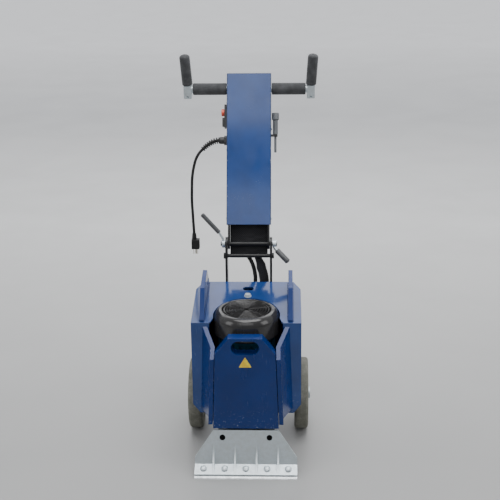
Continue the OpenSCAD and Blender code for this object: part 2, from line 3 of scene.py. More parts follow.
import json
import math

import bmesh
import bpy
from mathutils import Matrix, Vector

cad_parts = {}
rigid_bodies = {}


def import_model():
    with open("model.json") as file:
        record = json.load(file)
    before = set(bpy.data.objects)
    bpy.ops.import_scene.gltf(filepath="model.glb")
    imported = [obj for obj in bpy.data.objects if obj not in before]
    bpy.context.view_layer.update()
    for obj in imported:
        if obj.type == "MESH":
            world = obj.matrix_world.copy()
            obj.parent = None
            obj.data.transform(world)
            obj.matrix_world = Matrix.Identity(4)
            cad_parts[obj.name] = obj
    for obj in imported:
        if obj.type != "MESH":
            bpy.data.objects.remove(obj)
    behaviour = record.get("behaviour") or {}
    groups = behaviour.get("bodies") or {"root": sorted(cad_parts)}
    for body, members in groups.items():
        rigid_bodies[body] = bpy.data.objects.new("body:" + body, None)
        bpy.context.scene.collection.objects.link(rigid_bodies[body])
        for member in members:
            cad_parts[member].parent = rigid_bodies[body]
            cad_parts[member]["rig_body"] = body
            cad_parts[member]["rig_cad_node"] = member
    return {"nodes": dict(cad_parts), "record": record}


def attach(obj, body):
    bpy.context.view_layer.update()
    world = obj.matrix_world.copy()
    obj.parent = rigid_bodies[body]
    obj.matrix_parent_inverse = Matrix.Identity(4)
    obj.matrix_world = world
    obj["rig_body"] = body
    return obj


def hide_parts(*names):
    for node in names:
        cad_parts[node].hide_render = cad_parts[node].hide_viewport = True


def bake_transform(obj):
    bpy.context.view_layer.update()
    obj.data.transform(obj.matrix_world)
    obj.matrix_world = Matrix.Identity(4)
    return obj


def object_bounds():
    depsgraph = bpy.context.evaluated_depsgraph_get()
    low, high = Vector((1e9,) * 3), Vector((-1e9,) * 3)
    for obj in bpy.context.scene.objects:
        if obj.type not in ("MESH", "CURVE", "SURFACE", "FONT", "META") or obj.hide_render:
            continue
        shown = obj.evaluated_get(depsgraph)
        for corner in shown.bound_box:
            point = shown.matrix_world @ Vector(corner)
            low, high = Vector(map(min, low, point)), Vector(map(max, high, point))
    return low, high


bl_info = {
    "name": "Walk-behind floor scraper",
    "version": (1, 0, 0),
    "blender": (4, 5, 0),
    "location": "View3D > Sidebar > Scraper",
    "description": "Finishes and soft parts of a walk-behind floor scraper",
    "category": "Object",
}

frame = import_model()
CAD_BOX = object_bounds()
MM = 0.001
AXLE_Y = 11.1046  # the wheels' axle stands this far behind the origin, in mm
LEAN = math.radians(20.2)
COLUMN_FOOT = (AXLE_Y + 112, 647)  # the cover's lower front edge, in mm
MOTOR_Y = AXLE_Y - 133  # the motor's upright axis
WEIGHT_FACE_Y = AXLE_Y - 278  # the front weight's face
HOLDER_TILT = math.radians(76)  # the blade holder's upper plate, from the floor
SLOTS = {part["node"]: part["material_slot"] for part in frame["record"]["subparts"]}
BODY_OF = {name: item["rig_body"] for name, item in frame["nodes"].items()}


# ---- Sizes and colours that a user would change ----


def linear(code):
    """An sRGB hex colour as linear RGBA; a colour property's value is linear already."""
    if not isinstance(code, str):
        return list(code)
    parts = [int(code[i : i + 2], 16) / 255 for i in (1, 3, 5)]
    return [c / 12.92 if c < 0.04045 else ((c + 0.055) / 1.055) ** 2.4 for c in parts] + [1.0]


def length(name, about, mm):
    return bpy.props.FloatProperty(
        name=name, description=about, default=mm * MM, unit="LENGTH", precision=4
    )


def colour(name, about, code):
    return bpy.props.FloatVectorProperty(
        name=name, description=about, default=linear(code), size=4, subtype="COLOR", min=0, max=1
    )


class ScraperSizes(bpy.types.PropertyGroup):
    cord: length("Cord diameter", "Outside diameter of the power lead", 9.2)
    conduit: length("Conduit diameter", "Outside diameter of the corrugated conduit", 14)
    conduit_pitch: length("Conduit pitch", "Distance between two rings of the conduit", 5.4)
    sleeve: length("Sleeve diameter", "Outside diameter of the textile cable sleeve", 33)
    triangle: length("Triangle side", "Side of the yellow warning triangle", 38)
    weld: length("Weld bead", "Radius of the weld beads along the fins", 2.6)


class ScraperColours(bpy.types.PropertyGroup):
    frame_blue: colour("Frame blue", "Powder coat on the thick plates", "#0B3070")
    sheet_blue: colour("Sheet blue", "Powder coat on the deck and the column", "#1E4484")
    motor_teal: colour("Motor teal", "Enamel on the motor housing", "#14596E")
    cover_grey: colour("Cover grey", "Paint on the fan cover", "#343333")
    tyre_grey: colour("Tyre grey", "Solid non-marking tyres", "#6F6F65")
    button_red: colour("Button red", "The stop button", "#C9523F")
    label_yellow: colour("Label yellow", "The warning triangle", "#E9C02E")
    floor: colour("Floor", "The studio floor", "#EDEDEC")


# ---- Shader helpers ----


def add(tree, kind, inputs=None, **settings):
    """Adds one node with its settings, and joins or sets its inputs."""
    item = tree.nodes.new(kind)
    for key, value in settings.items():
        setattr(item, key, value)
    for key, value in (inputs or {}).items():
        if isinstance(value, bpy.types.NodeSocket):
            tree.links.new(value, item.inputs[key])
        else:
            item.inputs[key].default_value = value
    return item


def between(tree, value, low, high, to_low=0.0, to_high=1.0):
    """value from low to high, turned into to_low to to_high and held there beyond."""
    inputs = {0: value, 1: low, 2: high, 3: to_low, 4: to_high}
    return add(tree, "ShaderNodeMapRange", inputs, clamp=True).outputs[0]


def mixed(tree, factor, first, second):
    inputs = {0: factor, 6: first, 7: second}
    return add(tree, "ShaderNodeMix", inputs, data_type="RGBA").outputs[2]


def noise(tree, where, cell_mm, detail=3.0, rough=0.55):
    """Noise whose largest blobs are about cell_mm across."""
    inputs = {"Vector": where, "Scale": 1000.0 / cell_mm, "Detail": detail, "Roughness": rough}
    return add(tree, "ShaderNodeTexNoise", inputs).outputs["Fac"]


def stretched(tree, where, scale):
    return add(tree, "ShaderNodeMapping", {"Vector": where, "Scale": scale}).outputs[0]


def new_material(name, **sockets):
    """A material with its shader's constant sockets set; gives the tree, shader and coordinates."""
    material = bpy.data.materials.new(name)
    material.use_nodes = True
    tree = material.node_tree
    shader = tree.nodes["Principled BSDF"]
    for key, value in sockets.items():
        shader.inputs[key.replace("_", " ")].default_value = value
    where = add(tree, "ShaderNodeTexCoord").outputs["Object"]
    return material, tree, shader, where


def bump(tree, shader, height, depth_mm, strength=1.0):
    inputs = {"Height": height, "Distance": depth_mm * MM, "Strength": strength}
    tree.links.new(add(tree, "ShaderNodeBump", inputs).outputs[0], shader.inputs["Normal"])


def powder_coat(name, base, gloss=0.2, peel_mm=2.2, chip="#8C97A8", coat=0.2, fold=0.0):
    """Powder coat on steel plate: orange peel, rubbed patches, worn edges, chips and hairlines, and, by the
    amount fold, painted shade on the bevel faces.
    """
    material, tree, shader, where = new_material(name, IOR=1.4, Coat_Weight=coat, Coat_Roughness=0.1)
    cloud = noise(tree, where, 90, 4.0)
    shade = [c * 0.8 for c in linear(base)[:3]] + [1.0]
    body = mixed(tree, between(tree, cloud, 0.35, 0.65), shade, linear(base))
    # Hairlines: noise drawn out a hundred times along one way and cut to its crests
    hair = noise(tree, stretched(tree, where, (2.2, 1.0, 0.03)), 1.6, 2.0)
    patch = noise(tree, where, 60, 2.0)
    lines = between(tree, hair, 0.71, 0.74)
    rubbed = between(tree, patch, 0.5, 0.66)
    lines = add(tree, "ShaderNodeMath", {0: lines, 1: rubbed}, operation="MULTIPLY").outputs[0]
    edge = add(tree, "ShaderNodeAttribute", attribute_name="edge").outputs["Fac"]
    # Painted shade: the bevel faces, the sheet's folds among them, are painted darker by the amount fold,
    # standing in for the dark room that the rounded folds reflect
    painted_fold_shade = add(tree, "ShaderNodeMath", {0: edge, 1: fold}, operation="MULTIPLY").outputs[0]
    body = mixed(tree, painted_fold_shade, body, [c * 0.25 for c in linear(base)[:3]] + [1.0])
    nicks = between(tree, noise(tree, where, 9, 4.0, 0.7), 0.62, 0.68)
    worn = add(tree, "ShaderNodeMath", {0: edge, 1: nicks}, operation="MULTIPLY").outputs[0]
    marks = add(tree, "ShaderNodeMath", {0: worn, 1: lines}, operation="MAXIMUM").outputs[0]
    # Stone chips gather in the lowest hand's breadth
    height = add(tree, "ShaderNodeSeparateXYZ", {0: where}).outputs["Z"]
    low = between(tree, height, 0.13, 0.21, 1.0, 0.0)
    pits = between(tree, noise(tree, where, 5, 2.0, 0.8), 0.66, 0.69)
    chips = add(tree, "ShaderNodeMath", {0: low, 1: pits}, operation="MULTIPLY").outputs[0]
    marks = add(tree, "ShaderNodeMath", {0: marks, 1: chips}, operation="MAXIMUM").outputs[0]
    tree.links.new(mixed(tree, marks, body, linear(chip)), shader.inputs["Base Color"])
    smear = noise(tree, stretched(tree, where, (1, 1, 0.35)), 35, 5.0, 0.6)
    tree.links.new(between(tree, smear, 0.3, 0.72, gloss, gloss + 0.16), shader.inputs["Roughness"])
    bump(tree, shader, noise(tree, where, peel_mm, 1.0, 0.3), 0.025)
    return material


def plated(name, base, tint, rough=(0.3, 0.46), grain_mm=12):
    """Zinc plate on steel: cool grey with faint yellow and blue passivation clouds and tiny pits."""
    material, tree, shader, where = new_material(name, Metallic=1.0)
    cloud = noise(tree, where, grain_mm, 4.0, 0.6)
    tone = mixed(tree, between(tree, cloud, 0.35, 0.68), linear(base), linear(tint))
    tree.links.new(tone, shader.inputs["Base Color"])
    fog = noise(tree, where, grain_mm * 0.6, 5.0, 0.65)
    tree.links.new(between(tree, fog, 0.3, 0.7, *rough), shader.inputs["Roughness"])
    bump(tree, shader, noise(tree, where, 1.1, 2.0), 0.02)
    return material


def brushed(name, base, rough=0.3):
    """Ground tool steel: long grinding lines across the width, a little heat tint and scuffs."""
    material, tree, shader, where = new_material(name, Metallic=1.0)
    lines = noise(tree, stretched(tree, where, (0.04, 1, 1)), 0.9, 2.0)
    cloud = noise(tree, where, 30, 4.0)
    dark = [c * 0.7 for c in linear(base)[:3]] + [1.0]
    tone = mixed(tree, between(tree, cloud, 0.4, 0.7), linear(base), dark)
    tree.links.new(tone, shader.inputs["Base Color"])
    tree.links.new(between(tree, lines, 0.3, 0.7, rough - 0.08, rough + 0.14), shader.inputs["Roughness"])
    bump(tree, shader, lines, 0.02)
    return material


def cast_iron(name, base):
    """Sand-cast iron with a thin black primer: coarse skin and dull sheen."""
    material, tree, shader, where = new_material(name, Metallic=0.3, Roughness=0.62)
    skin = noise(tree, where, 2.4, 4.0, 0.65)
    pale = [min(1, c * 1.8) for c in linear(base)[:3]] + [1.0]
    tone = mixed(tree, between(tree, skin, 0.4, 0.7), linear(base), pale)
    tree.links.new(tone, shader.inputs["Base Color"])
    bump(tree, shader, skin, 0.25)
    return material


def moulded(name, base, rough=0.42, grain_mm=0.8, depth_mm=0.03, coat=0.0, shine=0.5):
    """Injection-moulded plastic: spark-eroded grain, slightly dusty and paler where hands rub it."""
    material, tree, shader, where = new_material(
        name, IOR=1.49, Coat_Weight=coat, Specular_IOR_Level=shine
    )
    rub = noise(tree, where, 16, 4.0)
    pale = [min(1, c * 1.5) for c in linear(base)[:3]] + [1.0]
    tone = mixed(tree, between(tree, rub, 0.45, 0.7), linear(base), pale)
    tree.links.new(tone, shader.inputs["Base Color"])
    tree.links.new(between(tree, rub, 0.3, 0.7, rough, rough + 0.12), shader.inputs["Roughness"])
    bump(tree, shader, noise(tree, where, grain_mm, 2.0), depth_mm)
    return material


def rubber(name, base, dust, rough=0.72, grain_mm=1.5, depth_mm=0.08, dusty=0.35):
    """Vulcanised rubber: no gloss, a fine skin, and floor dust held in its pores."""
    material, tree, shader, where = new_material(name, IOR=1.52, Specular_IOR_Level=0.35)
    grime = noise(tree, where, 22, 6.0, 0.7)
    speck = noise(tree, where, 2.5, 3.0, 0.7)
    both = add(tree, "ShaderNodeMath", {0: grime, 1: speck}, operation="MULTIPLY").outputs[0]
    amount = between(tree, both, 0.2, 0.4, 0.0, dusty)
    tree.links.new(mixed(tree, amount, linear(base), linear(dust)), shader.inputs["Base Color"])
    tree.links.new(between(tree, grime, 0.3, 0.7, rough, rough + 0.15), shader.inputs["Roughness"])
    bump(tree, shader, noise(tree, where, grain_mm, 3.0, 0.6), depth_mm)
    return material


def foam(name, base):
    """Closed-cell nitrile foam: soft matt skin of 1 mm cells with a faint sheen at grazing angles."""
    material, tree, shader, where = new_material(
        name, Roughness=0.86, Sheen_Weight=0.25, Sheen_Roughness=0.5, Specular_IOR_Level=0.25
    )
    cells = add(tree, "ShaderNodeTexVoronoi", {"Vector": where, "Scale": 1000 / 1.4}).outputs["Distance"]
    rub = noise(tree, where, 26, 4.0)
    pale = [min(1, c * 1.5 + 0.01) for c in linear(base)[:3]] + [1.0]
    tone = mixed(tree, between(tree, rub, 0.4, 0.68), linear(base), pale)
    tree.links.new(tone, shader.inputs["Base Color"])
    bump(tree, shader, cells, 0.18, 0.7)
    return material


def braid(name, base, thread):
    """Woven polyester: threads about 2 mm wide crossing at 45 degrees, drawn from the piece's own map."""
    material, tree, shader, _ = new_material(
        name, Roughness=0.82, Sheen_Weight=0.45, Sheen_Roughness=0.45, Specular_IOR_Level=0.3
    )
    along = add(tree, "ShaderNodeUVMap", uv_map="UVMap").outputs[0]
    waves = []
    scale = 1000 / 2.2 / 6.283  # so that a thread and its gap take about 4 mm
    for turn in (45, -45):
        spun = add(tree, "ShaderNodeMapping", {"Vector": along, "Rotation": (0, 0, math.radians(turn))})
        inputs = {"Vector": spun.outputs[0], "Scale": scale, "Distortion": 0.6}
        wave = add(tree, "ShaderNodeTexWave", inputs)
        waves.append(wave.outputs["Fac"])
    weave = add(tree, "ShaderNodeMath", {0: waves[0], 1: waves[1]}, operation="MAXIMUM").outputs[0]
    tone = mixed(tree, between(tree, weave, 0.4, 1.0), linear(base), linear(thread))
    tree.links.new(tone, shader.inputs["Base Color"])
    bump(tree, shader, weave, 0.3, 0.8)
    return material


FINISHES = {}


def make_finishes():
    """One material for each of the record's slots."""
    hues = bpy.context.scene.scraper_colours
    FINISHES.update(
        blue_frame=powder_coat("blue powder coat, plate", hues.frame_blue, 0.15, coat=0.05),
        # The sheet's bevelled folds and edges get painted shade (fold=0.7)
        blue_sheet=powder_coat("blue powder coat, sheet", hues.sheet_blue, 0.1, 2.8, coat=0.6, fold=0.7),
        black_steel=powder_coat("black powder coat", "#1C1C1E", 0.34, 1.6, "#6A6B6D"),
        cover_grey=powder_coat("satin grey stoving enamel", hues.cover_grey, 0.16, 1.8, "#8A8784", 0.5),
        motor_teal=powder_coat("teal motor enamel", hues.motor_teal, 0.3, 2.4, "#7D8F92"),
        rim_paint=powder_coat("grey wheel paint", "#8A8B84", 0.38, 1.8, "#55554F"),
        zinc_steel=plated("zinc-plated steel", "#DCE5EA", "#D3DBDD", (0.46, 0.56)),
        blade_steel=brushed("ground spring steel", "#C4C8CA"),
        carrier_iron=cast_iron("primed cast iron", "#3C3E40"),
        # Partly painted shade: the fan is black polypropylene, but it is made near-black with little specular
        # so that the gaps in the grille read as the shade inside the fan cover; the discs in the holder's
        # holes use it too
        fan_plastic=moulded("black polypropylene", "#070708", 0.7, shine=0.1),
        black_plastic=moulded("black ABS", "#2A2B2D", 0.4),
        red_button=moulded("red ABS", hues.button_red, 0.32, 0.6, 0.01, 0.2),
        grey_handle=moulded("grey polypropylene", "#606366", 0.46),
        lever_vinyl=moulded("grey dipped vinyl", "#47484A", 0.34, 3.0, 0.05, 0.2),
        cord_rubber=rubber("black rubber sheath", "#19191A", "#6B6A66", 0.5, 1.2, 0.03, 0.18),
        tyre_rubber=rubber("grey non-marking rubber", hues.tyre_grey, "#A7A69C", 0.74, 1.6, 0.12, 0.6),
        foam_grip=foam("nitrile foam", "#3B3C3E"),
        textile_sleeve=braid("braided polyester", "#131315", "#303034"),
        prong_brass=plated("nickel-plated brass", "#A89F86", "#8F866C", (0.24, 0.36), 5),
        warning_yellow=moulded("yellow vinyl label", hues.label_yellow, 0.35, 6.0, 0.01, 0.3),
    )


# ---- Mesh helpers ----


def only(item):
    """Makes item the only selected object and the active one."""
    bpy.ops.object.select_all(action="DESELECT")
    item.select_set(True)
    bpy.context.view_layer.objects.active = item


def give_finish(item, slot):
    item.data.materials.clear()
    item.data.materials.append(FINISHES[slot])


def cover_fold(middle, edge_mm):
    """The column cover's outer folds are rounder than its cut edges."""
    y, z = middle.y - COLUMN_FOOT[0], middle.z - COLUMN_FOOT[1]
    depth = y * math.cos(LEAN) - z * math.sin(LEAN)
    s = y * math.sin(LEAN) + z * math.cos(LEAN)
    outside = [abs(middle.x) > 70.5, depth < 0.5, s > 485.5]
    return 3.4 if sum(outside) > 1 else edge_mm


def deck_fold(middle, edge_mm):
    """So is the fold at the deck's front edge."""
    return 3.6 if middle.z > 431 and middle.y < AXLE_Y - 182.5 else edge_mm


FOLDS = {"column_cover": cover_fold, "deck_cover": deck_fold}


def dressed(name, edge_mm, smooth=32):
    """A copy of a CAD node, its triangles merged and its edges rounded, that stands for the node."""
    item = frame["nodes"][name].copy()
    item.data = frame["nodes"][name].data.copy()
    item.name = name + "_finished"
    item.parent = None
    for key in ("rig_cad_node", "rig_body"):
        if key in item:
            del item[key]
    bpy.context.scene.collection.objects.link(item)
    mesh = bmesh.new()
    mesh.from_mesh(item.data)
    bmesh.ops.remove_doubles(mesh, verts=mesh.verts, dist=2e-6)
    bmesh.ops.dissolve_limit(mesh, angle_limit=math.radians(0.6), verts=mesh.verts, edges=mesh.edges)
    widest = edge_mm
    if edge_mm:
        weight = mesh.edges.layers.float.new("bevel_weight_edge")
        wanted = {}
        for edge in mesh.edges:
            if edge.calc_face_angle(0.0) > math.radians(smooth):
                middle = (edge.verts[0].co + edge.verts[1].co) / 2 / MM
                wanted[edge] = FOLDS[name](middle, edge_mm) if name in FOLDS else edge_mm
        widest = max(wanted.values())
        for edge, wide in wanted.items():
            edge[weight] = wide / widest
    mesh.to_mesh(item.data)
    mesh.free()
    item.data.materials.clear()
    only(item)
    if item.data.has_custom_normals:
        bpy.ops.mesh.customdata_custom_splitnormals_clear()
    if edge_mm:
        item.data.materials.append(None)
        item.data.materials.append(None)
        bevel = item.modifiers.new("edges", "BEVEL")
        bevel.width = widest * MM
        bevel.segments = 3 if widest > 2 else 2
        bevel.limit_method = "WEIGHT"
        bevel.material = 1
        bpy.ops.object.modifier_apply(modifier=bevel.name)
    # The faces the bevel made are marked as edge: the finishes wear them, and the sheet's finish also paints
    # shade on them
    worn = item.data.attributes.new("edge", "FLOAT", "FACE")
    worn.data.foreach_set("value", [1.0 if face.material_index else 0.0 for face in item.data.polygons])
    item.data.polygons.foreach_set("material_index", [0] * len(item.data.polygons))
    bpy.ops.object.shade_smooth_by_angle(angle=math.radians(smooth + 8))
    if edge_mm:
        flat = item.modifiers.new("flats", "WEIGHTED_NORMAL")
        flat.keep_sharp = True
        bpy.ops.object.modifier_apply(modifier=flat.name)
    give_finish(item, SLOTS[name])
    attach(item, BODY_OF[name])
    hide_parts(name)
    return item


def turned(name, profile, place, steps=96):
    """A closed outline of radius and height in mm, spun about an upright line at place."""
    data = bpy.data.meshes.new(name)
    count = len(profile)
    points = [(r * MM, 0, z * MM) for r, z in profile]
    data.from_pydata(points, [(i, (i + 1) % count) for i in range(count)], [])
    item = bpy.data.objects.new(name, data)
    bpy.context.scene.collection.objects.link(item)
    only(item)
    bpy.ops.object.mode_set(mode="EDIT")
    bpy.ops.mesh.select_all(action="SELECT")
    bpy.ops.mesh.spin(steps=steps, angle=2 * math.pi, center=(0, 0, 0), axis=(0, 0, 1))
    bpy.ops.mesh.select_all(action="SELECT")
    bpy.ops.mesh.remove_doubles(threshold=0.02 * MM)
    bpy.ops.mesh.normals_make_consistent(inside=False)
    bpy.ops.object.mode_set(mode="OBJECT")
    data.transform(Matrix.Translation(place))
    return item


def joined(name, items):
    only(items[0])
    for item in items:
        item.select_set(True)
    bpy.ops.object.join()
    items[0].name = name
    return items[0]


def metres(points, shift=(0, 0, 0)):
    return [Vector([(p + s) * MM for p, s in zip(point, shift)]) for point in points]


def flowing(points, steps):
    """The same route with steps pieces between two points, on one smooth curve."""
    out = []
    for i in range(len(points) - 1):
        a, b = points[max(i - 1, 0)], points[i]
        c, d = points[i + 1], points[min(i + 2, len(points) - 1)]
        for k in range(steps):
            t = k / steps
            square, cube = 2 * a - 5 * b + 4 * c - d, 3 * b - a - 3 * c + d
            out.append(0.5 * (2 * b + (c - a) * t + square * t * t + cube * t**3))
    return out + [points[-1]]


def swept(name, route, radius, sides=24):
    """A closed tube along a route. radius(distance along it, part of the whole, angle) is in metres."""
    mesh = bmesh.new()
    unwrapped = mesh.loops.layers.uv.new("UVMap")
    total = sum((b - a).length for a, b in zip(route, route[1:]))
    side = Vector((1, 0, 0))
    rings, reach, far = [], [], 0.0
    for i, point in enumerate(route):
        if i:
            far += (point - route[i - 1]).length
        ahead = (route[min(i + 1, len(route) - 1)] - route[max(i - 1, 0)]).normalized()
        side = (side - ahead * side.dot(ahead)).normalized()
        other = ahead.cross(side)
        ring = []
        for k in range(sides):
            turn = 2 * math.pi * k / sides
            r = radius(far, far / total, turn)
            ring.append(mesh.verts.new(point + r * (math.cos(turn) * side + math.sin(turn) * other)))
        rings.append(ring)
        reach.append(far)
    around = 2 * math.pi * radius(0.0, 0.0, 0.0)
    for i in range(len(rings) - 1):
        for k in range(sides):
            j = (k + 1) % sides
            face = mesh.faces.new((rings[i][k], rings[i][j], rings[i + 1][j], rings[i + 1][k]))
            spots = ((k, i), (k + 1, i), (k + 1, i + 1), (k, i + 1))
            for loop, (a, b) in zip(face.loops, spots):
                loop[unwrapped].uv = (a / sides * around, reach[b])
            face.smooth = True
    mesh.faces.new(rings[0][::-1])
    mesh.faces.new(rings[-1])
    data = bpy.data.meshes.new(name)
    mesh.to_mesh(data)
    mesh.free()
    item = bpy.data.objects.new(name, data)
    bpy.context.scene.collection.objects.link(item)
    return item


def on_column(depth, s, x=0.0):
    """A point of the column's own frame, in metres: depth behind its front, s up along it."""
    y = COLUMN_FOOT[0] + s * math.sin(LEAN) + depth * math.cos(LEAN)
    z = COLUMN_FOOT[1] + s * math.cos(LEAN) - depth * math.sin(LEAN)
    return Vector((x * MM, y * MM, z * MM))


# ---- Pieces ----

# Rounding of each node's edges in mm, as broken, cast, bent or moulded edges are
BODY_EDGES = {
    "side_plate_left": 0.9, "side_plate_right": 0.9, "deck_cover": 0.9, "nose_plate_left": 0.9,
    "nose_plate_right": 0.9, "front_weight": 1.3, "weight_bracket": 0.6, "motor_plate": 0.8,
    "rear_brace": 0.7, "axle": 1.0, "axle_collars": 0.7, "terminal_box": 1.2,
    "handle_rail_left": 0.7, "handle_rail_right": 0.7, "frame_bolts": 0.5, "cross_rods": 0.9,
    "rubber_mounts": 1.5, "motor_housing": 0.7,
}
MOVING_EDGES = {
    "tyre_left": 0, "tyre_right": 0, "wheel_rim_left": 0.8, "wheel_rim_right": 0.8,
    "wheel_bearing_left": 0.3, "wheel_bearing_right": 0.3, "motor_shaft": 0.6, "cooling_fan": 0.4,
    "eccentric_hub": 0.6, "eccentric_bearing": 0.5, "blade_carrier": 1.2, "blade_holder": 0.9,
    "scraper_blade": 0.2, "clamp_strip": 0.6, "head_fasteners": 0.4,
}
COLUMN_EDGES = {
    "column_cover": 1.15, "column_spine": 0.6, "column_screws": 0.4, "cross_bar": 0.5,
    "bar_grips": 3.5, "switch_body": 2.0, "cord_gland": 0.8, "plug_body": 7.0, "plug_prongs": 0.3,
    "tool_clip": 0.8, "horn_left": 1.6, "horn_grip_left": 1.0, "horn_right": 1.6,
    "horn_grip_right": 1.0, "clamp_lever_left": 0.9, "lever_grip_left": 0.6,
    "clamp_lever_right": 0.9, "lever_grip_right": 0.6, "stop_button": 1.6, "start_button": 1.4,
    "hex_tool": 1.2,
}

CORD_ROUTE = [
    (-152, 240, 864), (-158, 240, 858), (-164, 240, 850), (-170, 240, 840), (-175, 240, 828),
    (-179, 240, 814), (-183, 240, 797), (-186, 240, 779), (-188, 240, 758), (-189, 240, 735),
    (-190, 240, 710), (-190, 240, 685), (-189, 240, 658), (-188, 240, 632), (-187, 240, 606),
    (-186, 240, 582),
]
RELIEF_ROUTE = [
    (-94, 237.8, 895), (-104, 237.9, 894), (-116, 238.4, 890.5), (-128, 239, 884),
    (-140, 239.5, 875), (-152, 240, 864),
]
SLEEVE_ROUTE = [
    (24, 115, 548), (28, 114.5, 538), (33, 114, 526), (36.5, 113, 514), (41, 111, 500),
    (45, 109, 484), (48, 108, 466), (48.5, 107, 446),
    (48.5, 105, 426), (48, 101, 406), (46, 94, 388), (44, 84, 372), (42, 71, 358), (40, 56, 350),
    (37, 36, 346), (37, 20.4, 346),
]
CONDUIT_ROUTE = [
    (-7, 113, 549), (-2, 113, 540), (4, 113, 530), (8.5, 112, 521), (12.5, 111, 511),
    (16, 111, 498), (18.5, 110, 484),
    (20, 109, 468), (19, 107, 446), (17, 106, 424), (15, 102, 402), (12, 96, 380), (9, 86, 360),
    (6, 72, 345), (3, 55, 336), (1, 36, 333), (1, 20.4, 333),
]


class DressBody(bpy.types.Operator):
    """Rounds the edges of the plates, the motor and their bolts and paints them"""

    bl_idname = "scraper.dress_body"
    bl_label = "Body"

    def execute(self, context):
        for name, edge in BODY_EDGES.items():
            dressed(name, edge)
        return {"FINISHED"}


class DressMoving(bpy.types.Operator):
    """Finishes the wheels, the rotor and the blade head"""

    bl_idname = "scraper.dress_moving"
    bl_label = "Wheels, rotor and blade head"

    def execute(self, context):
        for name, edge in MOVING_EDGES.items():
            dressed(name, edge)
        return {"FINISHED"}


class DressColumn(bpy.types.Operator):
    """Finishes the handle column, its grips, levers, switch and stored key"""

    bl_idname = "scraper.dress_column"
    bl_label = "Handle column"

    def execute(self, context):
        for name, edge in COLUMN_EDGES.items():
            dressed(name, edge)
        return {"FINISHED"}


class MakeFanCover(bpy.types.Operator):
    """Makes the pressed fan cover with the rings and spokes of its grille"""

    bl_idname = "scraper.make_fan_cover"
    bl_label = "Fan cover"

    def execute(self, context):
        axis = Vector((0, MOTOR_Y * MM, 0))
        # The top's height, its flat radius, the outer radius and the bend's height, in mm
        top, flat, wide, drop = 457, 79, 99, 28
        bend = [math.radians(a) for a in range(6, 91, 7)]
        outer = [(flat + (wide - flat) * math.sin(a), top - drop * (1 - math.cos(a))) for a in bend]
        inner = [
            (flat - 2 + (wide - flat) * math.sin(a), top - 2 - (drop - 2) * (1 - math.cos(a)))
            for a in bend
        ]
        rim = [(74, 455), (74, 456.6), (74.6, 457.1), (77.6, 457.3), (78.6, 456.9)]
        lip = [(98.7, 393), (99.3, 391), (99.3, 387), (98.6, 386.1), (97.2, 386.3), (96.8, 392)]
        parts = [turned("bell", rim + outer + lip + inner[::-1], axis, 128)]
        for k in range(8):
            r = 12 + 8.2 * k
            wire = [(r - 3.6, 455.6), (r - 3.1, 455), (r - 0.5, 455), (r, 455.6), (r, 456.5), (r - 0.6, 457),
                    (r - 3, 457), (r - 3.6, 456.5)]
            parts.append(turned("ring", wire, axis))
        for k in range(6):
            bpy.ops.object.select_all(action="DESELECT")
            bpy.ops.mesh.primitive_cube_add(size=1, location=(0, 0, 0))
            spoke = context.object
            spoke.data.transform(Matrix.Diagonal((67 * MM, 2.2 * MM, 2.0 * MM, 1)))
            crown = spoke.modifiers.new("crown", "BEVEL")
            crown.width = 0.8 * MM
            crown.segments = 3
            bpy.ops.object.modifier_apply(modifier=crown.name)
            turn = Matrix.Rotation(math.radians(15 + 60 * k), 4, "Z") @ Matrix.Translation((42.5 * MM, 0, 0))
            spoke.data.transform(Matrix.Translation(axis + Vector((0, 0, 456.3 * MM))) @ turn)
            parts.append(spoke)
        cover = joined("fan_cover_bell", parts)
        bpy.ops.object.shade_smooth_by_angle(angle=math.radians(38))
        give_finish(cover, "cover_grey")
        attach(cover, "base")
        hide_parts("fan_cover")
        return {"FINISHED"}


class MakeHoleShade(bpy.types.Operator):
    """Sinks a black disc into each of the blade holder's two upper holes, as painted shade where the open
    holes are only dark with shade
    """

    bl_idname = "scraper.make_caps"
    bl_label = "Hole caps"

    def execute(self, context):
        face = [(0.2, 0), (8.0, 0), (8.5, 0.5), (8.5, 3), (7.4, 3.4), (6.2, 3.0), (5.6, 2.0), (0.2, 1.8)]
        hole_x, hole_y, hole_z = 70, AXLE_Y - 283.7, 106.5
        tilt = Matrix.Rotation(HOLDER_TILT, 4, "X")
        caps = []
        for x in (-hole_x, hole_x):
            cap = turned("cap", face, Vector(), 48)
            spot = Vector((x, hole_y, hole_z)) * MM
            cap.data.transform(Matrix.Translation(spot) @ tilt)
            caps.append(cap)
        item = joined("hole_caps", caps)
        bpy.ops.object.shade_smooth_by_angle(angle=math.radians(38))
        # Painted shade: the discs are black so that the open holes look dark
        give_finish(item, "fan_plastic")
        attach(item, BODY_OF["blade_holder"])
        return {"FINISHED"}


class MakeWelds(bpy.types.Operator):
    """Lays the weld beads where the fins pass the deck and where the brace meets the side plates"""

    bl_idname = "scraper.make_welds"
    bl_label = "Weld beads"

    def execute(self, context):
        bead = context.scene.scraper_sizes.weld
        runs = []
        for side in (-1, 1):
            for x in (125.6, 139.4):  # both faces of a fin
                runs.append([(side * x, -176, 433.2), (side * x, 64, 469.6)])
            runs.append([(side * 125.4, 70.4, 156), (side * 125.4, 70.4, 450)])
            runs.append([(side * 125.4, 61.6, 165), (side * 125.4, 61.6, 450)])
        beads = []
        for ends in runs:
            first, last = metres(ends, (0, AXLE_Y, 0))
            count = int((last - first).length / (1.6 * MM))
            line = [first.lerp(last, i / count) for i in range(count + 1)]

            def rippled(far, part, turn):
                taper = min(1.0, far / (4 * MM), (1 - part) * 60)
                return bead * max(0.25, taper) * (1 + 0.09 * math.cos(2 * math.pi * far / (4.8 * MM)))

            beads.append(swept("bead", line, rippled, 10))
        item = joined("weld_beads", beads)
        give_finish(item, "blue_frame")
        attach(item, "base")
        return {"FINISHED"}


